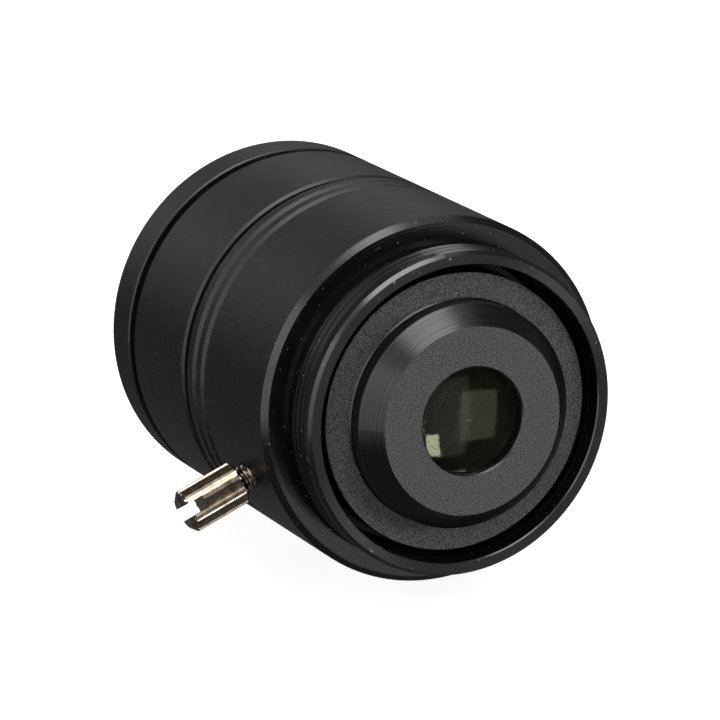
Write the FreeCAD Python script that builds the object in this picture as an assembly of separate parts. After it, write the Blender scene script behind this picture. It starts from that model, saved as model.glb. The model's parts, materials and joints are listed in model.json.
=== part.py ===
"""C-mount lens with a keyed, sliding lens group, a captive focus ring and a radial lock screw.

Frame: origin at the centre of the mount's flange seat, +Y along the optical axis out of the mount,
+Z up. The front of the lens faces -Y. Lengths are in millimetres.
"""
import FreeCAD, Part
import math
import os

V = FreeCAD.Vector
AXIS = V(0, 1, 0)

# ---- driving dimensions -------------------------------------------------------------------------
BODY_D = 28.9            # outside diameter of the three barrel sections
BASE_LEN = 14.6          # rear housing, flange seat to its front end
RING_GAP = 0.85          # running gap between the housing and the focus ring
FOCUS_LEN = 9.85         # focus ring
FRONT_GAP = 1.15         # gap between the focus ring and the front ring at rest
FRONT_LEN = 3.45         # front ring
EDGE, FRONT_EDGE = 0.2, 0.12     # rear edge chamfers of the focus ring and of the front ring
GROOVE_W, GROOVE_DEEP = 0.8, 0.4
GROOVE_BACK = (3.1, 1.45)    # two V grooves on the housing, from its front end

MOUNT_D = 25.4           # 1 in - 32 UN mount thread, crest diameter
MOUNT_PITCH = 25.4 / 32
MOUNT_LEN = 4.6          # flange seat to the end of the threaded nose
MOUNT_BORE_D = 23.34     # bore seen from the mount
THREAD_START_DEG = 81.5  # where the mount thread begins, from +X towards +Z
RELIEF_LEN = 1.4         # undercut between the thread and the flange
RELIEF_D = 24.6
RELIEF_DIP = 0.08        # how far the undercut dips below the seat, which starts outside the crests
TRAP_Y, TRAP_STEP, TRAPS = 3.1, 0.6, 4   # light-trap grooves in the bore

NUT_WALL = 1.31          # helicoid nut
LEAD = 1.5               # lens travel for one turn of the focus ring
FOCUS_BACK_DEG, FOCUS_NEAR_DEG = 60.0, 210.0

BOSS_END = 6.5           # flange seat to the boss face
BOSS_RISE, BOSS_TAPER = 1.6, 1.44    # tapered part of the boss: length, and loss of radius
BOSS_STEP = 2.12         # width of the annulus round the boss
ANNULUS_Y = 3.52         # flange seat to the annulus
ANNULUS_IN = 0.58        # annulus edge, inside the lens barrel's outside
EXIT_D = 8.4             # opening over the rear glass
LIP = 1.0                # lip over the rear glass

SCREW_DEG = -23.4        # thumb screw direction, from +X towards +Z
SCREW_Y = -5.3
SCREW_D, SCREW_PITCH = 2.0, 0.4
HEAD_D, HEAD_LEN = 3.5, 5.1
HEAD_GAP = 0.9           # barrel to the inner end of the head, focus locked
SLOT_W, SLOT_DEEP = 1.05, 1.65
SLOT_TURN_DEG = 24.6     # slot direction about the screw's axis, from +Y
SPLINES = 18
PAD_LEN = 0.7            # nylon pad between the screw and the helicoid nut

KEY_DEG = 180.0          # key screw, on the side away from the thumb screw
KEY_Y = -1.9
KEY_D, KEY_TIP_D = 1.6, 1.0
KEY_IN = 0.45            # how far its tip stands in the barrel's slot
STOP_DEG = 200.0         # stop pin of the focus ring
STOP_D, STOP_OUT = 0.6, 0.57     # its diameter, and its axis outside the nut

FILTER_D = 24.96         # front filter thread, minor diameter
FILTER_LEN = 2.1         # front rim to the end of the collar
BARREL_WALL = 1.08       # lens barrel round the front glass
CELL_WALL = 1.6          # lens barrel round the rear cell's thread
COLLAR_WALL = 1.53       # collar round the front retaining ring
SEAT_STEPS = (2.2, 1.4)  # loss of radius from the front to the second glass, and to the inner ones
REAR_GLASS_D = 10.36

# ---- fits ---------------------------------------------------------------------------------------
RUN = 0.04               # radial running clearance of the ring and the helicoid
SCREW_RUN = 0.03         # radial clearance of the lock screw in its hole
PAD_AIR = 0.02           # lock pad to the end of the lock screw
SEAT = 0.02              # radial clearance of glasses and spacers in their bores
AIR = 0.05               # end clearance between parts that turn or slide past each other
KEY_AIR = 0.05           # side clearance of the key in its slot
BARREL_AIR = 0.17        # lens barrel inside the mount bore

BODY_R, MOUNT_R, BORE_R = BODY_D / 2, MOUNT_D / 2, MOUNT_BORE_D / 2
FRONT_RIM = BASE_LEN + RING_GAP + FOCUS_LEN + FRONT_GAP + FRONT_LEN
GROOVES = tuple(BASE_LEN - back for back in GROOVE_BACK)
SNAP_Y = -(GROOVES[0] + GROOVES[1]) / 2
HELI_R = BORE_R - BARREL_AIR
NUT_R = HELI_R + RUN + NUT_WALL
SKIRT_BORE_R = NUT_R + RUN
SKIRT_Y = -3.2           # step in the housing bore behind the nut
WASHER_ROOM = 0.4        # room for the wave washer between the step and the nut
FOCUS_Y0 = -BASE_LEN - RING_GAP
FOCUS_Y1 = FOCUS_Y0 - FOCUS_LEN
FRONT_Y0 = FOCUS_Y1 - FRONT_GAP
NUT_Y0, NUT_Y1 = SKIRT_Y - WASHER_ROOM, FOCUS_Y1 + 0.4
COLLAR_R = FILTER_D / 2 + 0.35   # lens barrel collar that carries the front ring
COLLAR_Y0, COLLAR_Y1 = FOCUS_Y1 - 0.1, -FRONT_RIM + FILTER_LEN
ANNULUS_R = HELI_R - ANNULUS_IN
BOSS_R = ANNULUS_R - BOSS_STEP
STOP_R = NUT_R + STOP_OUT
HEAD_IN = BODY_R + HEAD_GAP


# ---- helpers ------------------------------------------------------------------------------------
def turned(points, y_shift=0.0):
    """A ring or disc turned about the optical axis from (radius, y) corners; arcs are ('arc', mid, end)."""
    edges, here, first = [], None, None
    for p in points:
        if p[0] == "arc":
            mid, end = (V(q[0], q[1] + y_shift, 0) for q in p[1:])
            edges.append(Part.Arc(here, mid, end).toShape())
        else:
            end = V(p[0], p[1] + y_shift, 0)
            if here is not None:
                edges.append(Part.makeLine(here, end))
        here = end
        first = first or end
    if (here - first).Length > 1e-7:
        edges.append(Part.makeLine(here, first))
    face = Part.Face(Part.Wire(edges))
    return face.revolve(V(0, 0, 0), AXIS, 360)


def radial(deg):
    """Unit vector across the optical axis, at an angle from +X towards +Z."""
    a = math.radians(deg)
    return V(math.cos(a), 0, math.sin(a))


def rod(d, deg, y, r0, r1):
    """A round bar across the optical axis, from radius r0 to r1."""
    u = radial(deg)
    return Part.makeCylinder(d / 2, r1 - r0, u * r0 + V(0, y, 0), u)


def sag(radius, r):
    """Depth of a spherical surface at distance r from the axis."""
    return radius - math.sqrt(radius * radius - r * r)


def cap(radius, r_out, y_vertex, bulge):
    """Arc from (r_out, edge) to the vertex on the axis; bulge +1 is a surface that stands out to +Y."""
    def point(r):
        return (r, y_vertex - bulge * sag(radius, r))
    return point(r_out), ("arc", point(r_out / 2), point(0))


def arc_out(radius, r_in, r_out, y_vertex, bulge):
    """The same surface, run from r_in out to r_out."""
    def point(r):
        return (r, y_vertex - bulge * sag(radius, r))
    return point(r_in), ("arc", point((r_in + r_out) / 2), point(r_out))


def groove_sweep(r_crest, r_root, pitch, turns, over):
    """A 60 degree V groove wound right-handed about +Z from z = 0, to be cut from a plain shank."""
    half_root = pitch / 14
    half_top = half_root + (r_crest + over - r_root) * math.tan(math.radians(30))
    helix = Part.makeHelix(pitch, pitch * turns, r_root)
    corners = [V(r_root, 0, -half_root), V(r_crest + over, 0, -half_top),
               V(r_crest + over, 0, half_top), V(r_root, 0, half_root)]
    profile = Part.makePolygon(corners + corners[:1])
    return Part.Wire(helix.Edges).makePipeShell([profile], True, True)


def placed(shape, z_to, x_to, base):
    """Move a shape made about +Z so that its Z runs along z_to and its X along x_to, at a base point."""
    y_to = z_to.cross(x_to)
    m = FreeCAD.Matrix(x_to.x, y_to.x, z_to.x, base.x,
                       x_to.y, y_to.y, z_to.y, base.y,
                       x_to.z, y_to.z, z_to.z, base.z, 0, 0, 0, 1)
    out = shape.copy()
    out.transformShape(m)
    return out


def about_axis(shape, deg):
    """Turn a shape about the optical axis, positive from +X towards +Z."""
    out = shape.copy()
    out.rotate(V(0, 0, 0), AXIS, -deg)
    return out


def sector(r_in, r_out, y0, y1, deg0, deg1):
    """An arc-shaped block about the optical axis between two angles, measured from +X towards +Z."""
    face = Part.Face(Part.makePolygon([V(r_in, y0, 0), V(r_out, y0, 0), V(r_out, y1, 0),
                                       V(r_in, y1, 0), V(r_in, y0, 0)]))
    return about_axis(face.revolve(V(0, 0, 0), AXIS, -(deg1 - deg0)), deg0)


def quartered(solid, r_in, r_out, y0, y1, deg):
    """The same solid with a seam every quarter turn between y0 and y1, the first at an angle."""
    wedges = [sector(r_in, r_out, y0, y1, deg + 90 * k, deg + 90 * k + 90) for k in range(4)]
    rest = solid.cut(turned([(r_in, y0), (r_out, y0), (r_out, y1), (r_in, y1)]))
    return rest.fuse([solid.common(wedge) for wedge in wedges])


# ---- rear housing -------------------------------------------------------------------------------
def v_groove(y):
    """Corners of one outside V groove centred at y, listed towards the front."""
    return [(BODY_R, y + GROOVE_W / 2), (BODY_R - GROOVE_DEEP, y + 0.08),
            (BODY_R - GROOVE_DEEP, y - 0.08), (BODY_R, y - GROOVE_W / 2)]


def rear_housing():
    nose = MOUNT_LEN
    outer = [(MOUNT_R - 0.25, nose), (MOUNT_R, nose - 0.3), (MOUNT_R, RELIEF_LEN + 0.12),
             (RELIEF_D / 2, RELIEF_LEN - 0.1), (RELIEF_D / 2, -RELIEF_DIP), (MOUNT_R + 0.03, 0.0),
             (BODY_R - 0.47, 0.0), (BODY_R, -0.4)]
    for g in GROOVES:
        outer += v_groove(-g)
    outer += [(BODY_R, -BASE_LEN + 0.12), (BODY_R - 0.12, -BASE_LEN)]
    inner = [(SKIRT_BORE_R + 0.15, -BASE_LEN), (SKIRT_BORE_R, -BASE_LEN + 0.15),
             (SKIRT_BORE_R, SNAP_Y - 0.36), (SKIRT_BORE_R + 0.55, SNAP_Y - 0.36),
             (SKIRT_BORE_R + 0.55, SNAP_Y + 0.36), (SKIRT_BORE_R, SNAP_Y + 0.36),
             (SKIRT_BORE_R, SKIRT_Y), (BORE_R, SKIRT_Y)]
    # shallow light-trap grooves behind the mouth of the bore
    for k in reversed(range(TRAPS)):
        y = TRAP_Y - k * TRAP_STEP
        inner += [(BORE_R, y - 0.2), (BORE_R + 0.16, y), (BORE_R, y + 0.2)]
    inner += [(BORE_R, nose - 0.08), (BORE_R + 0.08, nose)]
    body = turned(outer + inner)
    # mount thread: wound towards the nose, ending at its full depth where the thread begins
    low, high = RELIEF_LEN - 0.45, nose - 0.65
    turns = (high - low) / MOUNT_PITCH
    cut = groove_sweep(MOUNT_R, MOUNT_R - 0.45, MOUNT_PITCH, turns, 0.045)
    start = radial(THREAD_START_DEG + 360 * turns)
    body = body.cut(placed(cut, AXIS, start, V(0, low, 0)))
    # no face of the crest runs more than a quarter turn, and one seam stands just past the start
    body = quartered(body, BORE_R - 1, MOUNT_R + 1, RELIEF_LEN - 0.4, nose + 1, THREAD_START_DEG + 2)
    # lock screw hole with a countersunk mouth
    u = radial(SCREW_DEG)
    hole_r = SCREW_D / 2 + SCREW_RUN
    body = body.cut(rod(2 * hole_r, SCREW_DEG, SCREW_Y, SKIRT_BORE_R - 0.6, BODY_R + 1))
    sink = Part.makeCone(hole_r, hole_r + 0.3, 0.3, u * (BODY_R - 0.22) + V(0, SCREW_Y, 0), u)
    body = body.cut(sink)
    # key screw hole and stop pin hole
    body = body.cut(rod(KEY_D, KEY_DEG, KEY_Y, BORE_R - 0.5, BODY_R + 1))
    pin_at = radial(STOP_DEG) * STOP_R
    body = body.cut(Part.makeCylinder(STOP_D / 2, 1.4, pin_at + V(0, -BASE_LEN - 0.1, 0), AXIS))
    return body


def key_screw():
    """Slotted set screw with a dog point that rides in the slot of the lens barrel."""
    u, tip_r = radial(KEY_DEG), HELI_R - KEY_IN
    body = rod(KEY_D, KEY_DEG, KEY_Y, BORE_R + 0.15, BODY_R - 0.35)
    body = body.fuse(rod(KEY_TIP_D, KEY_DEG, KEY_Y, tip_r, BORE_R + 0.2)).removeSplitter()
    slot = Part.makeBox(0.3, 3.0, 1.0, V(-0.15, -1.5, 0))
    return body.cut(placed(slot, u, AXIS, u * (BODY_R - 0.85) + V(0, KEY_Y, 0)))


def stop_pin():
    reach = RING_GAP + 0.65
    at = radial(STOP_DEG) * STOP_R + V(0, -BASE_LEN - reach, 0)
    pin = Part.makeCylinder(STOP_D / 2, reach + 1.2, at, AXIS)
    return pin


def snap_ring():
    """Split spring ring: held in the housing groove, it stands in the groove of the helicoid nut."""
    y = SNAP_Y
    r0, r1 = NUT_R - 0.3, SKIRT_BORE_R + 0.45
    ring = turned([(r0, y - 0.3), (r1, y - 0.3), (r1, y + 0.3), (r0, y + 0.3)])
    return ring.cut(sector(r0 - 1, r1 + 1, y - 1, y + 1, STOP_DEG - 40, STOP_DEG - 28))


def wave_washer():
    """Thin spring washer with three waves, behind the helicoid nut."""
    y0, thick, r0, r1 = SKIRT_Y - AIR, 0.1, HELI_R + 0.35, NUT_R - 0.15
    rise = (SKIRT_Y - NUT_Y0) - 2 * AIR - thick
    n = 36

    def y_at(k):
        return y0 - rise / 2 + rise / 2 * math.cos(2 * math.pi * 3 * k / n)

    def loop(r, dy):
        pts = [V(r * math.cos(2 * math.pi * k / n), y_at(k) + dy, r * math.sin(2 * math.pi * k / n))
               for k in range(n)]
        curve = Part.BSplineCurve()
        curve.interpolate(pts, PeriodicFlag=True)
        return Part.Wire([curve.toShape()])
    top_in, top_out, low_in, low_out = loop(r0, 0), loop(r1, 0), loop(r0, -thick), loop(r1, -thick)
    faces = [Part.makeRuledSurface(a.Edges[0], b.Edges[0])
             for a, b in ((top_in, top_out), (low_in, low_out), (top_in, low_in), (top_out, low_out))]
    return Part.Solid(Part.makeShell(faces))


# ---- focus ring and helicoid nut ----------------------------------------------------------------
def helicoid_nut():
    r0 = HELI_R + RUN
    pts = [(r0 + 0.15, NUT_Y0), (NUT_R - 0.15, NUT_Y0), (NUT_R, NUT_Y0 - 0.15),
           (NUT_R, SNAP_Y + 0.36), (NUT_R - 0.38, SNAP_Y + 0.36), (NUT_R - 0.38, SNAP_Y - 0.36),
           (NUT_R, SNAP_Y - 0.36), (NUT_R, NUT_Y1 + 0.15), (NUT_R - 0.15, NUT_Y1),
           (r0 + 0.15, NUT_Y1), (r0, NUT_Y1 + 0.15), (r0, NUT_Y0 - 0.15)]
    return turned(pts)


def focus_ring():
    outer = [(NUT_R, FOCUS_Y0), (BODY_R - EDGE, FOCUS_Y0), (BODY_R, FOCUS_Y0 - EDGE),
             (BODY_R, FOCUS_Y1 + 0.12), (BODY_R - 0.12, FOCUS_Y1), (NUT_R, FOCUS_Y1)]
    ring = turned(outer)
    # arc slot for the stop pin: it covers the whole turn of the ring and the pin itself
    half = math.degrees((STOP_D / 2 + AIR) / STOP_R)
    first = STOP_DEG - FOCUS_BACK_DEG - half
    last = STOP_DEG + FOCUS_NEAR_DEG + half
    wide = STOP_D / 2 + AIR
    return ring.cut(sector(STOP_R - wide, STOP_R + wide, FOCUS_Y0 - 0.85, FOCUS_Y0 + 0.1, first, last))


# ---- sliding lens group -------------------------------------------------------------------------
R1 = HELI_R - BARREL_WALL - SEAT   # front, second, inner and rear glasses
R2 = R1 - SEAT_STEPS[0]
R3 = R2 - SEAT_STEPS[1]
R4 = REAR_GLASS_D / 2
RET_THREAD_R = COLLAR_R - COLLAR_WALL
CELL_THREAD_R, CELL_SHOULDER_Y, CELL_FRONT_Y = HELI_R - CELL_WALL, -1.0, -4.0
GASKET, FRONT_RET_LEN = 0.4, 1.2
RIB_LEN = 1.22                     # inner rib: the second glass sits in front, the third behind
SPACER_LEN = (1.63, 2.52, 2.2)     # front spacer, third glass to stop, stop to cemented pair

# front glass, a meniscus hollow to the rear
L1_SURF, L1_CENTRE = (26.0, 11.0), 1.4
L1_RIM_R, L1_HOLLOW_R = R1 - 0.6, R1 - 2.6
L1_FRONT = COLLAR_Y1 + 0.3
L1_RIM_FRONT = L1_FRONT + sag(L1_SURF[0], L1_RIM_R)
L1_RIM_REAR = L1_FRONT + L1_CENTRE + sag(L1_SURF[1], L1_HOLLOW_R)
FRONT_SEAT_Y = L1_RIM_REAR + 0.45
# second glass, seated on the rib
L2_SURF, L2_CENTRE = (24.0, 8.5), 1.1
L2_RIM_R, L2_HOLLOW_R = R2 - 0.8, R2 - 2.2
L2_RIM_FRONT = L1_RIM_REAR + SPACER_LEN[0]
L2_FRONT = L2_RIM_FRONT - sag(L2_SURF[0], L2_RIM_R)
L2_REAR_VERTEX = L2_FRONT + L2_CENTRE
RIB_Y0 = L2_REAR_VERTEX + sag(L2_SURF[1], L2_HOLLOW_R)
RIB_Y1 = RIB_Y0 + RIB_LEN
RIB_R = SPACER_R = R3 - 0.8
# third glass, on the other side of the rib, then the stop
L3_SURF, L3_CENTRE = (20.0, 30.0), 3.0
L3_FRONT = RIB_Y1 - sag(L3_SURF[0], RIB_R)
L3_REAR = L3_FRONT + L3_CENTRE
L3_SPACER_Y = L3_REAR - sag(L3_SURF[1], SPACER_R)
STOP_DISC_Y = L3_SPACER_Y + SPACER_LEN[1]
STOP_DISC_T, STOP_HOLE_R = 0.2, 3.0
# cemented pair and its ring
DBL_Y = STOP_DISC_Y + STOP_DISC_T + SPACER_LEN[2]
DBL_SURF, FLINT_CENTRE, CROWN_CENTRE = (12.0, 11.0, 13.0), 0.9, 4.8
DBL_HOLLOW_R, DBL_RET_R, DBL_RET_LEN = R3 - 1.2, R3 - 0.9, 1.4
FLINT_VERTEX = DBL_Y + sag(DBL_SURF[0], DBL_HOLLOW_R)
CEMENT_VERTEX = FLINT_VERTEX + FLINT_CENTRE
CROWN_REAR = CEMENT_VERTEX + CROWN_CENTRE
DBL_RET_Y = CROWN_REAR - sag(DBL_SURF[2], DBL_RET_R)
# rear glass, behind the lip of the rear cell
REAR_SURF, REAR_CENTRE = (17.0, 25.0), 2.8
REAR_VERTEX = BOSS_END - LIP + sag(REAR_SURF[0], EXIT_D / 2)
REAR_FRONT = REAR_VERTEX - REAR_CENTRE
REAR_RET_R, REAR_RET_LEN = R4 - 0.58, 1.33
REAR_RET_Y = REAR_FRONT + sag(REAR_SURF[1], REAR_RET_R)


def lens_barrel():
    helicoid = [(HELI_R, CELL_SHOULDER_Y - 0.12), (HELI_R, COLLAR_Y0)]
    outer = [(HELI_R - 0.12, CELL_SHOULDER_Y)] + helicoid
    outer += [(COLLAR_R, COLLAR_Y0), (COLLAR_R, COLLAR_Y1)]
    inner = [(RET_THREAD_R, COLLAR_Y1), (RET_THREAD_R, L1_RIM_FRONT - GASKET + 0.05),
             (R1 + SEAT, L1_RIM_FRONT - GASKET + 0.05), (R1 + SEAT, FRONT_SEAT_Y),
             (R2 + SEAT, FRONT_SEAT_Y), (R2 + SEAT, RIB_Y0), (RIB_R, RIB_Y0), (RIB_R, RIB_Y1),
             (R3 + SEAT, RIB_Y1), (R3 + SEAT, CELL_FRONT_Y - 0.1),
             (CELL_THREAD_R, CELL_FRONT_Y - 0.1), (CELL_THREAD_R, CELL_SHOULDER_Y)]
    body = turned(outer + inner)
    # open key slot at the rear end, long enough for the whole travel
    u = radial(KEY_DEG)
    half = KEY_TIP_D / 2 + KEY_AIR
    end = KEY_Y - LEAD * FOCUS_BACK_DEG / 360 - half - 0.05
    slot = Part.makeBox(2.0, CELL_SHOULDER_Y + 1 - end, 2 * half, V(HELI_R - KEY_IN - 0.07, end, -half))
    return body.cut(about_axis(slot, KEY_DEG))


def rear_cell():
    """Rear end of the lens group: flat annulus, tapered boss and the seat of the rear glass."""
    foot_r, face_r, hole_r = BOSS_R, BOSS_R - BOSS_TAPER, EXIT_D / 2
    foot_y = BOSS_END - BOSS_RISE
    outer = [(CELL_THREAD_R, CELL_FRONT_Y), (CELL_THREAD_R, CELL_SHOULDER_Y),
             (ANNULUS_R, CELL_SHOULDER_Y), (ANNULUS_R, ANNULUS_Y - 0.08),
             (ANNULUS_R - 0.08, ANNULUS_Y), (foot_r + 0.12, ANNULUS_Y), (foot_r, ANNULUS_Y + 0.12),
             (foot_r, foot_y), (face_r, BOSS_END)]
    inner = [(hole_r + 0.1, BOSS_END), (hole_r, BOSS_END - 0.1), (hole_r, BOSS_END - LIP),
             (R4 + SEAT, BOSS_END - LIP), (R4 + SEAT, 0.6), (CELL_THREAD_R - 3.0, CELL_SHOULDER_Y - 0.2),
             (CELL_THREAD_R - 2.3, CELL_FRONT_Y)]
    return turned(outer + inner)


def front_element():
    rim, vertex = cap(L1_SURF[0], L1_RIM_R, L1_FRONT, -1)
    hollow, out = arc_out(L1_SURF[1], 0, L1_HOLLOW_R, L1_FRONT + L1_CENTRE, -1)
    return turned([rim, vertex, hollow, out, (R1, L1_RIM_REAR), (R1, L1_RIM_FRONT)])


def second_element():
    rim, vertex = cap(L2_SURF[0], L2_RIM_R, L2_FRONT, -1)
    hollow, out = arc_out(L2_SURF[1], 0, L2_HOLLOW_R, L2_REAR_VERTEX, -1)
    return turned([rim, vertex, hollow, out, (R2, RIB_Y0), (R2, L2_RIM_FRONT)])


def third_element():
    front, vertex = cap(L3_SURF[0], R3, L3_FRONT, -1)
    back, out = arc_out(L3_SURF[1], 0, R3, L3_REAR, 1)
    return turned([front, vertex, back, out])


def flint_element():
    hollow, vertex = cap(DBL_SURF[0], DBL_HOLLOW_R, FLINT_VERTEX, 1)
    joint, out = arc_out(DBL_SURF[1], 0, R3, CEMENT_VERTEX, -1)
    return turned([(R3, DBL_Y), hollow, vertex, joint, out])


def crown_element():
    joint, vertex = cap(DBL_SURF[1], R3, CEMENT_VERTEX, -1)
    back, out = arc_out(DBL_SURF[2], 0, R3, CROWN_REAR, 1)
    return turned([joint, vertex, back, out])


def rear_element():
    front, vertex = cap(REAR_SURF[1], R4, REAR_FRONT, -1)
    back, out = arc_out(REAR_SURF[0], 0, R4, REAR_VERTEX, 1)
    return turned([front, vertex, back, out])


def plain_ring(r_in, r_out, y0, y1):
    return turned([(r_in, y0), (r_out, y0), (r_out, y1), (r_in, y1)])


def spanner_ring(r_in, r_out, y0, y1, notch_rear):
    """Threaded retaining ring with two spanner notches in its rear or its front face."""
    wide, deep = 0.9, 0.45
    y = (y1 if notch_rear else y0) - deep
    bar = Part.makeBox(2 * r_out + 2, 2 * deep, wide, V(-r_out - 1, y, -wide / 2))
    return plain_ring(r_in, r_out, y0, y1).cut(bar)


def front_ring():
    """Bezel on the barrel's collar, with the filter thread in front."""
    step = COLLAR_Y1 - 0.02
    pts = [(COLLAR_R, FRONT_Y0), (BODY_R - FRONT_EDGE, FRONT_Y0), (BODY_R, FRONT_Y0 - FRONT_EDGE),
           (BODY_R, -FRONT_RIM + 0.25), (BODY_R - 0.25, -FRONT_RIM),
           (FILTER_D / 2 + 0.35, -FRONT_RIM), (FILTER_D / 2, -FRONT_RIM + 0.35),
           (FILTER_D / 2, step), (COLLAR_R, step)]
    return turned(pts)


# ---- lock screw ---------------------------------------------------------------------------------
def lock_pad():
    r_tip = NUT_R + AIR
    return rod(SCREW_D - 0.04, SCREW_DEG, SCREW_Y, r_tip, r_tip + PAD_LEN)


def lock_screw():
    """Straight-knurled thumb screw with a screwdriver slot; built about +Z, then aimed outwards."""
    r_tip = NUT_R + AIR + PAD_LEN + PAD_AIR
    shank = HEAD_IN - r_tip
    r, deep = HEAD_D / 2, 0.17
    shaft = Part.makeCylinder(SCREW_D / 2, shank + 0.1)
    shaft = shaft.cut(groove_sweep(SCREW_D / 2, SCREW_D / 2 - 0.22, SCREW_PITCH,
                                   (shank - 0.1) / SCREW_PITCH, 0.02))
    corners = []
    for k in range(SPLINES):
        for part, radius in ((-0.34, r - deep), (-0.16, r), (0.16, r), (0.34, r - deep)):
            a = 2 * math.pi * (k + part) / SPLINES
            corners.append(V(radius * math.cos(a), radius * math.sin(a), 0))
    star = Part.Face(Part.makePolygon(corners + corners[:1]))
    head = star.extrude(V(0, 0, HEAD_LEN))
    out, into = 0.5, 0.28
    blank = Part.Face(Part.makePolygon([V(0, 0, 0), V(r - into, 0, 0), V(r + 0.02, 0, into + 0.02),
                                        V(r + 0.02, 0, HEAD_LEN - out * 0.85 - 0.02),
                                        V(r - out, 0, HEAD_LEN), V(0, 0, HEAD_LEN), V(0, 0, 0)]))
    head = head.common(blank.revolve(V(0, 0, 0), V(0, 0, 1), 360))
    head.translate(V(0, 0, shank))
    slot = Part.makeBox(HEAD_D + 2, SLOT_W, SLOT_DEEP + 1,
                        V(-HEAD_D / 2 - 1, -SLOT_W / 2, shank + HEAD_LEN - SLOT_DEEP))
    screw = shaft.fuse(head).cut(slot)
    u = radial(SCREW_DEG)
    across = u.cross(AXIS)
    turn = math.radians(SLOT_TURN_DEG)
    x_to = AXIS * math.cos(turn) + across * math.sin(turn)
    return placed(screw, u, x_to, u * r_tip + V(0, SCREW_Y, 0))


# ---- build --------------------------------------------------------------------------------------
PARTS = {
    "rear_housing": rear_housing, "key_screw": key_screw, "stop_pin": stop_pin,
    "snap_ring": snap_ring, "wave_washer": wave_washer,
    "helicoid_nut": helicoid_nut, "focus_ring": focus_ring,
    "lens_barrel": lens_barrel, "rear_cell": rear_cell, "front_ring": front_ring,
    "front_element": front_element, "second_element": second_element,
    "third_element": third_element, "flint_element": flint_element,
    "crown_element": crown_element, "rear_element": rear_element,
    "front_gasket": lambda: plain_ring(L1_RIM_R + AIR, R1, L1_RIM_FRONT - GASKET, L1_RIM_FRONT),
    "front_retaining_ring": lambda: spanner_ring(
        L1_RIM_R + AIR, RET_THREAD_R, L1_RIM_FRONT - GASKET - FRONT_RET_LEN, L1_RIM_FRONT - GASKET, False),
    "front_spacer": lambda: plain_ring(L2_RIM_R + 0.1, R2, L1_RIM_REAR, L2_RIM_FRONT),
    "third_spacer": lambda: plain_ring(SPACER_R, R3, L3_SPACER_Y, STOP_DISC_Y),
    "aperture_stop": lambda: plain_ring(STOP_HOLE_R, R3, STOP_DISC_Y, STOP_DISC_Y + STOP_DISC_T),
    "stop_spacer": lambda: plain_ring(DBL_HOLLOW_R + 0.1, R3, STOP_DISC_Y + STOP_DISC_T, DBL_Y),
    "doublet_retaining_ring": lambda: spanner_ring(
        DBL_RET_R, R3, DBL_RET_Y, DBL_RET_Y + DBL_RET_LEN, True),
    "rear_retaining_ring": lambda: spanner_ring(
        REAR_RET_R, R4, REAR_RET_Y - REAR_RET_LEN, REAR_RET_Y, False),
    "lock_pad": lock_pad, "lock_screw": lock_screw,
}

os.makedirs("parts", exist_ok=True)
for name, make in PARTS.items():
    shape = make()
    if shape.ShapeType == "Compound" and len(shape.Solids) == 1:
        shape = shape.Solids[0]
    print(name, shape.ShapeType, len(shape.Solids), round(shape.Volume, 3), shape.isValid())
    shape.exportStep(os.path.join("parts", name + ".step"))
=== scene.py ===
"""Looks of the C-mount lens: materials, glass coatings, studio and camera."""
import json
import math
import bmesh
import bpy
from mathutils import Matrix, Vector


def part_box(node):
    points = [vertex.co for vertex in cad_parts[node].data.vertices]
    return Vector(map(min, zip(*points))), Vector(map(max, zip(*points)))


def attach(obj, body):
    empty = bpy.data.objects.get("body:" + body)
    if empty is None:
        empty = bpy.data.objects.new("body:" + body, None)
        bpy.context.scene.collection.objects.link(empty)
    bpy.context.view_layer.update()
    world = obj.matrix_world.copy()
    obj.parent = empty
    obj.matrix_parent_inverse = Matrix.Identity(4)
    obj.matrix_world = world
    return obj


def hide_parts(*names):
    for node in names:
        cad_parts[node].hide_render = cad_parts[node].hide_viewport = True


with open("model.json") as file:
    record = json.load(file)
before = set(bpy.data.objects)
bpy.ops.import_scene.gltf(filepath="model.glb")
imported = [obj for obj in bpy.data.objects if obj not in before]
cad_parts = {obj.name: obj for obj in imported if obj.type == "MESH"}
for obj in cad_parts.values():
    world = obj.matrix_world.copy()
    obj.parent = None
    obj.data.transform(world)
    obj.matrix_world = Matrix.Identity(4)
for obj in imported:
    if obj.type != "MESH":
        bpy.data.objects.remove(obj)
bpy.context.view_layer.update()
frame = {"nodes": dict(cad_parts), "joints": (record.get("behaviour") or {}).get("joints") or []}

MM = 0.001
NODES = frame["nodes"]
FLANGE_Y, NOSE_FACE_Y, CREST_R = -0.42, 4.0, 12.2    # flange edge, just under the nose's end, its rim
TURNED_BUMP = 0.02                   # bump distance of turning marks and grit


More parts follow.
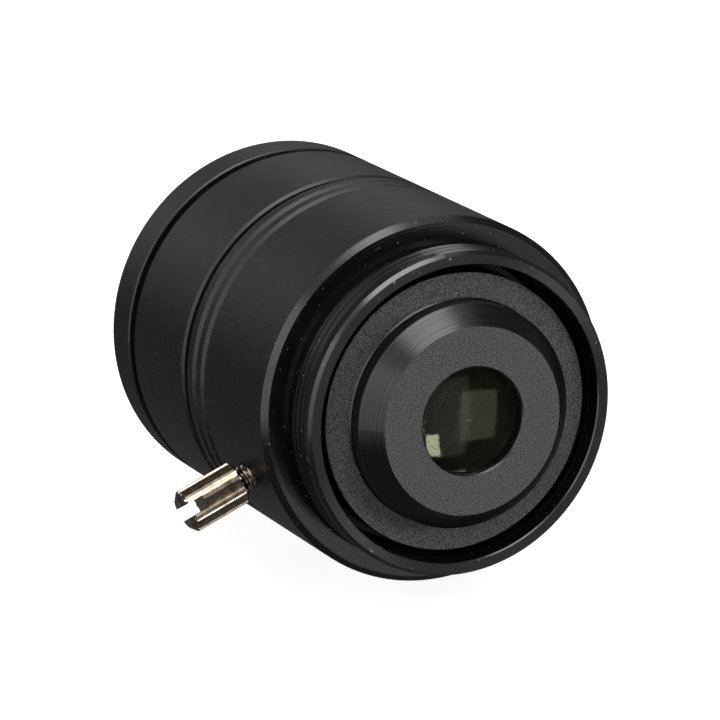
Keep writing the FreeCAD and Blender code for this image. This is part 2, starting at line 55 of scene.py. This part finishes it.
# ---- node helpers -------------------------------------------------------------------------------
class Tree:
    """Short names for building a material's nodes; lengths inside are millimetres."""

    def __init__(self, name):
        self.mat = bpy.data.materials.new(name)
        self.mat.use_nodes = True
        self.t = self.mat.node_tree
        self.t.nodes.clear()
        self.out = self.t.nodes.new("ShaderNodeOutputMaterial")
        self.bsdf = self.t.nodes.new("ShaderNodeBsdfPrincipled")
        self.t.links.new(self.bsdf.outputs[0], self.out.inputs[0])
        coords = self.t.nodes.new("ShaderNodeTexCoord")
        self.p = self.vmath("SCALE", coords.outputs["Object"], scale=1000.0)
        parts = self.node("ShaderNodeSeparateXYZ", self.p)
        self.x, self.y, self.z = parts.outputs
        flat = self.t.nodes.new("ShaderNodeCombineXYZ")
        self.link(self.x, flat.inputs[0])
        self.link(self.z, flat.inputs[1])
        self.r = self.vmath("LENGTH", flat.outputs[0], out=1)
        normal = self.node("ShaderNodeSeparateXYZ", coords.outputs["Normal"])
        self.facing = self.math("ABSOLUTE", normal.outputs[1])   # 1 on a face square to the axis

    def link(self, a, b):
        self.t.links.new(a, b)

    def put(self, sock, value):
        if isinstance(value, bpy.types.NodeSocket):
            self.link(value, sock)
        else:
            sock.default_value = value

    def node(self, kind, *inputs, **props):
        n = self.t.nodes.new(kind)
        for k, v in props.items():
            setattr(n, k, v)
        for i, v in enumerate(inputs):
            if v is not None:
                self.put(n.inputs[i], v)
        return n

    def math(self, op, a, b=None):
        return self.node("ShaderNodeMath", a, b, operation=op).outputs[0]

    def vmath(self, op, a, scale=None, out=0):
        n = self.node("ShaderNodeVectorMath", a, operation=op)
        if scale is not None:
            n.inputs["Scale"].default_value = scale
        return n.outputs[out]

    def ramp(self, value, lo, hi, to_lo=0.0, to_hi=1.0):
        n = self.node("ShaderNodeMapRange", value, lo, hi, to_lo, to_hi)
        return n.outputs[0]

    def noise(self, scale, detail=3.0, rough=0.55, at=None, dims="3D"):
        n = self.t.nodes.new("ShaderNodeTexNoise")
        n.noise_dimensions = dims
        n.inputs["Scale"].default_value = scale
        n.inputs["Detail"].default_value = detail
        n.inputs["Roughness"].default_value = rough
        if dims == "1D":
            self.link(at, n.inputs["W"])
        else:
            self.link(self.p, n.inputs["Vector"])
        return n.outputs[0]

    def dots(self, scale, size, keep):
        """Sparse round specks: 1 at their middle, and only this share of them kept."""
        v = self.t.nodes.new("ShaderNodeTexVoronoi")
        v.inputs["Scale"].default_value = scale
        self.link(self.p, v.inputs["Vector"])
        dot = self.ramp(v.outputs["Distance"], size, size * 0.4)
        pick = self.node("ShaderNodeSeparateColor", v.outputs["Color"]).outputs[0]
        return self.math("MULTIPLY", dot, self.math("LESS_THAN", pick, keep))

    def mix(self, fac, a, b):
        n = self.node("ShaderNodeMix", fac, data_type="RGBA")
        for sock, v in ((n.inputs[6], a), (n.inputs[7], b)):
            self.put(sock, (*v, 1.0) if isinstance(v, tuple) and len(v) == 3 else v)
        return n.outputs[2]

    def mixf(self, fac, a, b):
        n = self.node("ShaderNodeMix", fac, data_type="FLOAT")
        self.put(n.inputs[2], a)
        self.put(n.inputs[3], b)
        return n.outputs[0]

    def bump(self, height, distance_mm, strength=1.0):
        n = self.t.nodes.new("ShaderNodeBump")
        n.inputs["Strength"].default_value = strength
        n.inputs["Distance"].default_value = distance_mm * MM
        self.link(height, n.inputs["Height"])
        return n.outputs[0]

    def turned(self, lines_per_mm, detail=2.0):
        """Fine turning marks: rings on a face, and lines round a cylinder."""
        along = self.mixf(self.math("GREATER_THAN", self.facing, 0.75), self.y, self.r)
        return self.noise(lines_per_mm, detail, 0.6, at=along, dims="1D")

    def set(self, **values):
        for k, v in values.items():
            self.put(self.bsdf.inputs[k.replace("_", " ")], v)


def anodised(name, base, rough, grain, lines, dust):
    """Black anodised aluminium: etched grain over turning marks, with pale dust and small rubs."""
    m = Tree(name)
    fine = m.noise(7.0, 4.0, 0.6)
    broad = m.noise(0.5, 3.0)
    ring = m.turned(9.0)
    speck = m.dots(1.3, 0.11, 0.16)
    tiny = m.dots(3.4, 0.20, 0.10)
    rub = m.math("MULTIPLY", m.ramp(m.noise(0.9, 5.0, 0.7), 0.60, 0.78), m.ramp(fine, 0.45, 0.65))
    tone = m.math("MULTIPLY", m.ramp(fine, 0.3, 0.7, 0.6, 1.5), m.ramp(broad, 0.3, 0.7, 0.8, 1.2))
    dark = m.node("ShaderNodeVectorMath", tuple(base), operation="SCALE")
    m.link(tone, dark.inputs["Scale"])
    pale = m.math("MAXIMUM", m.math("MULTIPLY", m.math("MAXIMUM", speck, tiny), dust),
                  m.math("MULTIPLY", rub, dust * 0.4))
    m.colour = m.mix(pale, dark.outputs[0], (0.34, 0.34, 0.33))
    m.ring = ring
    spread = m.math("ADD", m.ramp(broad, 0.3, 0.7, -0.03, 0.03),
                    m.ramp(ring, 0.3, 0.7, -0.03, 0.03))
    m.rough = m.math("ADD", m.math("ADD", spread, rough), m.math("MULTIPLY", pale, 0.2))
    m.height = m.math("ADD", m.math("MULTIPLY", fine, grain), m.math("MULTIPLY", ring, lines))
    m.set(Base_Color=m.colour, Roughness=m.rough, Normal=m.bump(m.height, TURNED_BUMP))
    return m


def satin_black():
    """Outside of the barrel: satin anodising, with the flange and the threaded nose turned bright."""
    m = anodised("satin_black", (0.0047, 0.0047, 0.0049), 0.34, 1.0, 0.2, 0.6)
    nose = m.math("GREATER_THAN", m.y, FLANGE_Y)
    end = m.math("MULTIPLY", m.math("GREATER_THAN", m.facing, 0.9), m.math("GREATER_THAN", m.y, NOSE_FACE_Y))
    rough = m.mixf(nose, m.rough, m.ramp(m.ring, 0.3, 0.7, 0.11, 0.24))
    height = m.mixf(nose, m.height, m.math("MULTIPLY", m.turned(5.0, 4.0), 0.35))
    nicks = m.math("MULTIPLY", m.dots(1.1, 0.13, 0.35), m.math("GREATER_THAN", m.r, CREST_R))
    pale = m.math("MULTIPLY", m.math("MULTIPLY", nicks, end), 0.8)
    m.set(Base_Color=m.mix(pale, m.colour, (0.30, 0.30, 0.30)),
          Roughness=m.mixf(end, rough, m.ramp(m.ring, 0.3, 0.7, 0.44, 0.54)),
          Normal=m.bump(height, TURNED_BUMP), Anisotropic=m.math("MULTIPLY", end, 0.9),
          Specular_IOR_Level=m.mixf(m.math("MULTIPLY", nose, m.math("LESS_THAN", m.facing, 0.75)), 0.5, 0.8))
    across = m.t.nodes.new("ShaderNodeTangent")
    across.direction_type, across.axis = "RADIAL", "Y"
    m.link(across.outputs[0], m.bsdf.inputs["Tangent"])
    m.bsdf.inputs["Anisotropic Rotation"].default_value = 0.25
    return m


def blasted_black():
    """Rear cell: sandblasted flats, and a boss whose sides are turned smooth."""
    m = anodised("blasted_black", (0.011, 0.011, 0.0112), 0.50, 1.0, 0.0, 0.2)
    side = m.math("LESS_THAN", m.facing, 0.9)
    lathe = m.turned(7.0, 5.0)
    grit = m.noise(10.0, 2.0, 0.7)
    bright = m.node("ShaderNodeVectorMath", (0.060, 0.060, 0.0605), operation="SCALE")
    m.link(m.ramp(grit, 0.42, 0.58, 0.0, 2.0), bright.inputs["Scale"])
    m.set(Base_Color=m.mix(side, bright.outputs[0], (0.0022, 0.0022, 0.0023)),
          Roughness=m.mixf(side, m.ramp(grit, 0.35, 0.65, 0.42, 0.56),
                           m.ramp(lathe, 0.3, 0.7, 0.16, 0.34)),
          Normal=m.bump(m.mixf(side, m.math("MULTIPLY", grit, 5.0), m.math("MULTIPLY", lathe, 0.5)),
                        TURNED_BUMP))
    return m


def build_materials():
    body, inner = satin_black(), blasted_black()
    dull = anodised("dull_black", (0.006, 0.006, 0.006), 0.45, 0.6, 0.4, 0.0)

    nickel = Tree("bright_nickel")
    streak = nickel.noise(4.0, 4.0)
    tarnish = nickel.ramp(nickel.noise(1.6, 3.0), 0.35, 0.7)
    metal = nickel.mix(streak, (0.30, 0.245, 0.19), (0.48, 0.41, 0.33))
    nickel.set(Base_Color=nickel.mix(tarnish, metal, (0.17, 0.13, 0.10)), Metallic=1.0,
               Roughness=nickel.ramp(streak, 0.3, 0.7, 0.08, 0.2),
               Normal=nickel.bump(nickel.noise(9.0), 0.004, 0.5))

    brass = Tree("turned_brass")
    line = brass.turned(10.0)
    brass.set(Base_Color=brass.mix(line, (0.55, 0.38, 0.16), (0.72, 0.55, 0.28)), Metallic=1.0,
              Roughness=brass.ramp(line, 0.3, 0.7, 0.22, 0.4), Normal=brass.bump(line, 0.02, 0.5))

    steel = Tree("plain_steel")
    line = steel.noise(5.0, 4.0)
    steel.set(Base_Color=steel.mix(line, (0.30, 0.30, 0.31), (0.52, 0.52, 0.53)), Metallic=1.0,
              Roughness=steel.ramp(line, 0.3, 0.7, 0.25, 0.42), Normal=steel.bump(line, 0.01, 0.5))

    rubber = Tree("gasket_rubber")
    grain = rubber.noise(18.0)
    rubber.set(Base_Color=rubber.mix(grain, (0.010, 0.010, 0.010), (0.022, 0.022, 0.022)),
               Roughness=rubber.ramp(grain, 0.3, 0.7, 0.7, 0.9), Normal=rubber.bump(grain, 0.02))

    nylon = Tree("natural_nylon")
    grain = nylon.noise(8.0)
    nylon.set(Base_Color=nylon.mix(grain, (0.66, 0.63, 0.55), (0.80, 0.78, 0.72)),
              Roughness=nylon.ramp(grain, 0.3, 0.7, 0.4, 0.55), Normal=nylon.bump(grain, 0.01))
    return {"body": body.mat, "inner": inner.mat, "dull": dull.mat, "nickel": nickel.mat,
            "brass": brass.mat, "steel": steel.mat, "rubber": rubber.mat, "nylon": nylon.mat}


def glass(name, tint, rear_coat, front_coat):
    """Polished lens glass; each surface's anti-reflection coating leaves a weak, coloured reflection."""
    m = Tree(name)
    lo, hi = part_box(name)
    on_rear = m.math("GREATER_THAN", m.y, (lo[1] + hi[1]) / 2 / MM)
    haze = m.noise(0.8, 3.0)
    smear = m.ramp(m.noise(2.2, 4.0, 0.7), 0.55, 0.8)
    m.set(Base_Color=m.mix(haze, tint, tuple(c * 0.96 for c in tint)),
          Roughness=m.math("MULTIPLY", smear, 0.03))
    b = m.bsdf.inputs
    b["Transmission Weight"].default_value = 1.0
    b["IOR"].default_value = 1.55
    m.link(m.mix(on_rear, front_coat, rear_coat), b["Specular Tint"])
    return m.mat


LOOK = {
    "rear_housing": "body", "focus_ring": "body", "front_ring": "body",
    "rear_cell": "inner", "lens_barrel": "dull", "front_retaining_ring": "dull",
    "front_spacer": "dull", "third_spacer": "dull", "stop_spacer": "dull", "aperture_stop": "dull",
    "doublet_retaining_ring": "dull", "rear_retaining_ring": "dull",
    "helicoid_nut": "brass", "key_screw": "steel", "stop_pin": "steel", "snap_ring": "steel",
    "wave_washer": "steel", "front_gasket": "rubber", "lock_pad": "nylon", "lock_screw": "nickel",
}
GLASSES = {
    "rear_element": (0.97, 0.97, 0.95), "crown_element": (0.80, 0.88, 0.78),
    "flint_element": (0.8, 0.84, 0.75), "third_element": (0.22, 0.26, 0.22),
    "second_element": (0.42, 0.42, 0.45), "front_element": (0.50, 0.54, 0.55),
}
# share of the bare glass's reflection left by the coatings of the rear and the front surface
COATS = {
    "rear_element": ((0.27, 0.235, 0.21), (0.56, 0.57, 0.36)),
    "crown_element": ((0.08, 0.20, 0.09), (0.10, 0.12, 0.08)),
    "flint_element": ((0.10, 0.12, 0.08), (0.40, 0.55, 0.30)),
    "third_element": ((0.15, 0.40, 0.20), (0.2, 0.3, 0.2)),
    "second_element": ((0.30, 0.20, 0.32), (0.2, 0.2, 0.3)),
    "front_element": ((0.12, 0.30, 0.20), (0.12, 0.25, 0.3)),
}

materials = build_materials()
for node, look in LOOK.items():
    NODES[node].data.materials.clear()
    NODES[node].data.materials.append(materials[look])
for node, tint in GLASSES.items():
    NODES[node].data.materials.clear()
    NODES[node].data.materials.append(glass(node, tint, *COATS[node]))


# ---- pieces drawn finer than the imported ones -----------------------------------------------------
JOINTS = {j["name"]: j for j in frame["joints"]}
REAR_SURF = (17.0, 25.0)             # rear glass: rear and front radius
CROWN_REAR_SURF, FLINT_FRONT_SURF = 13.0, 12.0
HEAD_R, HEAD_LEN, KNURLS, KNURL_DEEP = 1.75, 5.1, 18, 0.17    # thumb screw
KNURL_TOP, KNURL_FOOT = 0.16, 0.34   # half widths of a knurl, as shares of the knurl spacing
SLOT_W, SLOT_DEEP, SLOT_TURN = 1.05, 1.65, math.radians(24.6)
SCREW_R, SCREW_PITCH, SCREW_THREAD_DEEP = 1.0, 0.4, 0.2


def mesh_piece(name, verts, faces, smooth, node_names, look):
    me = bpy.data.meshes.new(name)
    me.from_pydata([tuple(c * MM for c in v) for v in verts], [], faces)
    me.validate()
    shell = bmesh.new()
    shell.from_mesh(me)
    bmesh.ops.recalc_face_normals(shell, faces=shell.faces)
    shell.to_mesh(me)
    shell.free()
    for poly in me.polygons:
        poly.use_smooth = smooth
    obj = bpy.data.objects.new(name, me)
    bpy.context.scene.collection.objects.link(obj)
    me.materials.append(look)
    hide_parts(*node_names)
    return obj


def lathe(profile, steps=160):
    """Vertices and faces of (radius, y) points turned about the optical axis, closed end to end."""
    n = len(profile)
    verts = [(r * math.cos(2 * math.pi * k / steps), y, r * math.sin(2 * math.pi * k / steps))
             for k in range(steps) for r, y in profile]
    faces = []
    for k in range(steps):
        here, there = k * n, (k + 1) % steps * n
        faces += [(here + i, here + (i + 1) % n, there + (i + 1) % n, there + i) for i in range(n)]
    return verts, faces


def sag(radius, r):
    return radius - math.sqrt(radius * radius - r * r)


def lens_profile(rim, rear, rear_y, front, front_y, rings=28):
    """Rear surface out from the axis, edge, front surface back in; a negative radius is hollow."""
    def surface(radius, vertex, to):
        s = 1 if radius > 0 else -1
        return [(max(rim * k / rings, 1e-4), vertex - to * s * sag(abs(radius), rim * k / rings))
                for k in range(rings + 1)]
    return surface(rear, rear_y, 1) + surface(front, front_y, -1)[::-1]


def lens(name, nodes, rear, front):
    """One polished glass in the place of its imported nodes; the radii are positive when they bulge."""
    lows, highs = zip(*(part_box(n) for n in nodes))
    rim = max(h[0] for h in highs) / MM
    lo, hi = min(c[1] for c in lows) / MM, max(c[1] for c in highs) / MM
    front_y = lo + (sag(-front, rim) if front < 0 else 0)
    verts, faces = lathe(lens_profile(rim, rear, hi, front, front_y))
    obj = mesh_piece(name, verts, faces, True, nodes, NODES[nodes[0]].data.materials[0])
    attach(obj, "lens_group")
    return obj


def knurled_screw():
    """The lock screw with crisp knurls: a star section kept inside the turned blank of its head."""
    axis = Vector(JOINTS["lock_turn"]["axis"]).normalized()
    lo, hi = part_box("lock_screw")
    packed = [v.co for v in NODES["lock_screw"].data.vertices]
    reach = [v.dot(axis) / MM for v in packed]
    tip, top = min(reach), max(reach)
    on_axis = Vector(JOINTS["lock_turn"]["pos_m"]) / MM
    base = on_axis + axis * (tip - on_axis.dot(axis))
    optical = Vector((0, 1, 0))
    along_slot = optical * math.cos(SLOT_TURN) + axis.cross(optical) * math.sin(SLOT_TURN)
    across = axis.cross(along_slot)
    length = top - tip
    root = length - HEAD_LEN

    def blank(z):
        """Radius of the turned head at a distance along the screw."""
        inner, outer = z - root, length - z
        return min(HEAD_R, HEAD_R - 0.28 + inner, HEAD_R - 0.5 + outer / 0.85)

    section = []
    for k in range(KNURLS):
        for part, r in ((-KNURL_FOOT, HEAD_R - KNURL_DEEP), (-KNURL_TOP, HEAD_R), (KNURL_TOP, HEAD_R),
                        (KNURL_FOOT, HEAD_R - KNURL_DEEP)):
            section.append((2 * math.pi * (k + part) / KNURLS, r))
    n = len(section)
    heights = [root, root + 0.07, root + 0.14, root + 0.28, root + 0.34,
               length - 0.425, length - 0.36, length - 0.29, length - 0.2, length - 0.1, length]
    points, faces = [], []
    for z in heights:
        for a, r in section:
            r = min(r, blank(z))
            points.append((r * math.cos(a), r * math.sin(a), z))
    for h in range(len(heights) - 1):
        for i in range(n):
            j = (i + 1) % n
            faces.append((h * n + i, h * n + j, (h + 1) * n + j, (h + 1) * n + i))
    faces += [tuple(range(n))[::-1], tuple(range((len(heights) - 1) * n, len(heights) * n))]
    frame_matrix = Matrix((along_slot, across, axis)).transposed()

    def placed(p):
        return tuple(frame_matrix @ Vector(p) + base)

    head = mesh_piece("thumb_screw_head", [placed(p) for p in points], faces, False, ["lock_screw"],
                      materials["nickel"])
    # driver slot, cut from the outer end
    half, deep, wide = SLOT_W / 2, SLOT_DEEP, HEAD_R + 1
    ends = (length - deep, length + 1)
    corners = [(x, y, z) for x in (-wide, wide) for y in (-half, half) for z in ends]
    cut = bpy.data.meshes.new("slot")
    cut.from_pydata([tuple(c * MM for c in placed(p)) for p in corners], [],
                    [(0, 1, 3, 2), (4, 6, 7, 5), (0, 4, 5, 1), (2, 3, 7, 6), (0, 2, 6, 4), (1, 5, 7, 3)])
    cutter = bpy.data.objects.new("slot", cut)
    bpy.context.scene.collection.objects.link(cutter)
    mod = head.modifiers.new("slot", "BOOLEAN")
    mod.object, mod.operation, mod.solver = cutter, "DIFFERENCE", "EXACT"
    done = bpy.data.meshes.new_from_object(head.evaluated_get(bpy.context.evaluated_depsgraph_get()))
    head.modifiers.clear()
    head.data = done
    bpy.data.objects.remove(cutter)
    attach(head, "screw")

    # threaded shank: one ring of points wound up the screw, right-handed
    steps = 40
    profile = ((0.0, 0.0), (0.11, 0.0), (0.19, -SCREW_THREAD_DEEP), (0.32, -SCREW_THREAD_DEEP),
               (SCREW_PITCH, 0.0))
    turns = int(steps * (root + 0.05) / SCREW_PITCH)
    verts, quads = [], []
    for k in range(turns + 1):
        a = 2 * math.pi * k / steps
        for dz, dr in profile:
            z = SCREW_PITCH * (k / steps - 1) + dz
            r = SCREW_R + dr
            verts.append(placed((r * math.cos(a), r * math.sin(a), min(max(z, 0.0), root + 0.03))))
    m = len(profile)
    for k in range(turns):
        for i in range(m - 1):
            quads.append((k * m + i, (k + 1) * m + i, (k + 1) * m + i + 1, k * m + i + 1))
    core, core_r = len(verts), SCREW_R - SCREW_THREAD_DEEP - 0.01
    for k in range(steps):
        a = 2 * math.pi * k / steps
        for z in (0.02, root):
            verts.append(placed((core_r * math.cos(a), core_r * math.sin(a), z)))
    for k in range(steps):
        i, j = core + 2 * k, core + 2 * ((k + 1) % steps)
        quads.append((i, j, j + 1, i + 1))
    quads.append(tuple(core + 2 * k for k in range(steps))[::-1])
    shank = mesh_piece("thumb_screw_shank", verts, quads, True, ["lock_screw"], materials["nickel"])
    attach(shank, "screw")


# ---- studio -------------------------------------------------------------------------------------
FLOOR_Z, FLOOR_SIZE = -16.0 * MM, 3.0
LENS_MM, SENSOR_MM = 234.95, 36.0
CAMERA_AT, CAMERA_AIM = (0.15251, 0.31149, 0.09589), (-0.4104, -0.8746, -0.2582)
AMBIENT = 0.10
# soft boxes: direction, half width and half height in degrees, width of the faded edge, radiance
SOFT_BOXES = (
    ((0.12, 0.31, 0.95), 14, 11, 9, 5.0),      # overhead
    ((-0.25, 0.45, 0.85), 12, 10, 14, 0.9),    # its spill
    ((0.84, 0.52, 0.14), 11, 22, 10, 1.7),     # left of the camera
    ((0.50, 0.66, 0.56), 16, 16, 16, 0.7),     # between the two
    ((-0.41, 0.66, 0.63), 5, 5, 4, 5.0),       # high on the right
    ((-0.36, -0.85, 0.38), 7, 7, 9, 0.32),     # behind and above
    ((0.0, -1.0, 0.1), 9, 7, 5, 1.4),          # level with the front of the lens
    ((-0.17, 0.95, -0.24), 14, 18, 3, 1.15),    # in front of the mount, its edge seen in the glass
    ((-0.52, 0.80, -0.28), 12, 16, 12, 0.12),  # its dim neighbour
    ((-0.80, 0.58, 0.12), 7, 7, 3, 13.0),       # narrow box on the right, mirrored inside the rear glass
)


def studio():
    bpy.ops.mesh.primitive_plane_add(size=FLOOR_SIZE, location=(0, 0, FLOOR_Z))
    floor = bpy.context.object
    floor.name = "floor"
    m = Tree("pale_floor")
    cloud = m.noise(0.02, 2.0)
    m.set(Base_Color=m.mix(cloud, (0.60, 0.60, 0.60), (0.66, 0.66, 0.66)), Roughness=0.9,
          Emission_Color=(1.0, 1.0, 1.0, 1.0), Emission_Strength=0.88)
    floor.data.materials.append(m.mat)
    floor.visible_glossy = floor.visible_diffuse = floor.visible_shadow = False
    floor.visible_transmission = False

    world = bpy.data.worlds.new("studio")
    bpy.context.scene.world = world
    world.use_nodes = True
    t = world.node_tree
    back = t.nodes["Background"]
    coords = t.nodes.new("ShaderNodeTexCoord")
    total = None

    def math_node(op, *inputs):
        n = t.nodes.new("ShaderNodeMath")
        n.operation = op
        for i, v in enumerate(inputs):
            if isinstance(v, bpy.types.NodeSocket):
                t.links.new(v, n.inputs[i])
            else:
                n.inputs[i].default_value = v
        return n.outputs[0]

    def along(axis):
        n = t.nodes.new("ShaderNodeVectorMath")
        n.operation = "DOT_PRODUCT"
        t.links.new(coords.outputs["Generated"], n.inputs[0])
        n.inputs[1].default_value = axis
        return n.outputs["Value"]

    def window(value, half, edge):
        n = t.nodes.new("ShaderNodeMapRange")
        n.interpolation_type = "SMOOTHSTEP"
        t.links.new(value, n.inputs[0])
        n.inputs[1].default_value = math.tan(math.radians(half + edge))
        n.inputs[2].default_value = math.tan(math.radians(half))
        return n.outputs[0]

    for aim, wide, high, edge, radiance in SOFT_BOXES:
        aim = Vector(aim).normalized()
        side = aim.cross(Vector((0, 0, 1))).normalized()
        depth = math_node("MAXIMUM", along(aim), 0.001)
        mask = math_node("MULTIPLY", window(math_node("ABSOLUTE", math_node(
            "DIVIDE", along(side), depth)), wide, edge), window(math_node("ABSOLUTE", math_node(
                "DIVIDE", along(side.cross(aim)), depth)), high, edge))
        total = math_node("MULTIPLY_ADD", mask, radiance, AMBIENT if total is None else total)
    t.links.new(total, back.inputs[1])
    back.inputs[0].default_value = (1, 1, 1, 1)


def camera():
    data = bpy.data.cameras.new("camera")
    data.lens, data.sensor_width = LENS_MM, SENSOR_MM
    data.clip_start, data.clip_end = 0.01, 10.0
    o = bpy.data.objects.new("camera", data)
    bpy.context.scene.collection.objects.link(o)
    o.location = CAMERA_AT
    o.rotation_euler = Vector(CAMERA_AIM).to_track_quat("-Z", "Y").to_euler()
    bpy.context.scene.camera = o


lens("rear_glass", ["rear_element"], *REAR_SURF)
lens("cemented_glass", ["crown_element", "flint_element"], CROWN_REAR_SURF, -FLINT_FRONT_SURF)
knurled_screw()
studio()
camera()
bpy.context.scene.view_settings.view_transform = "Standard"
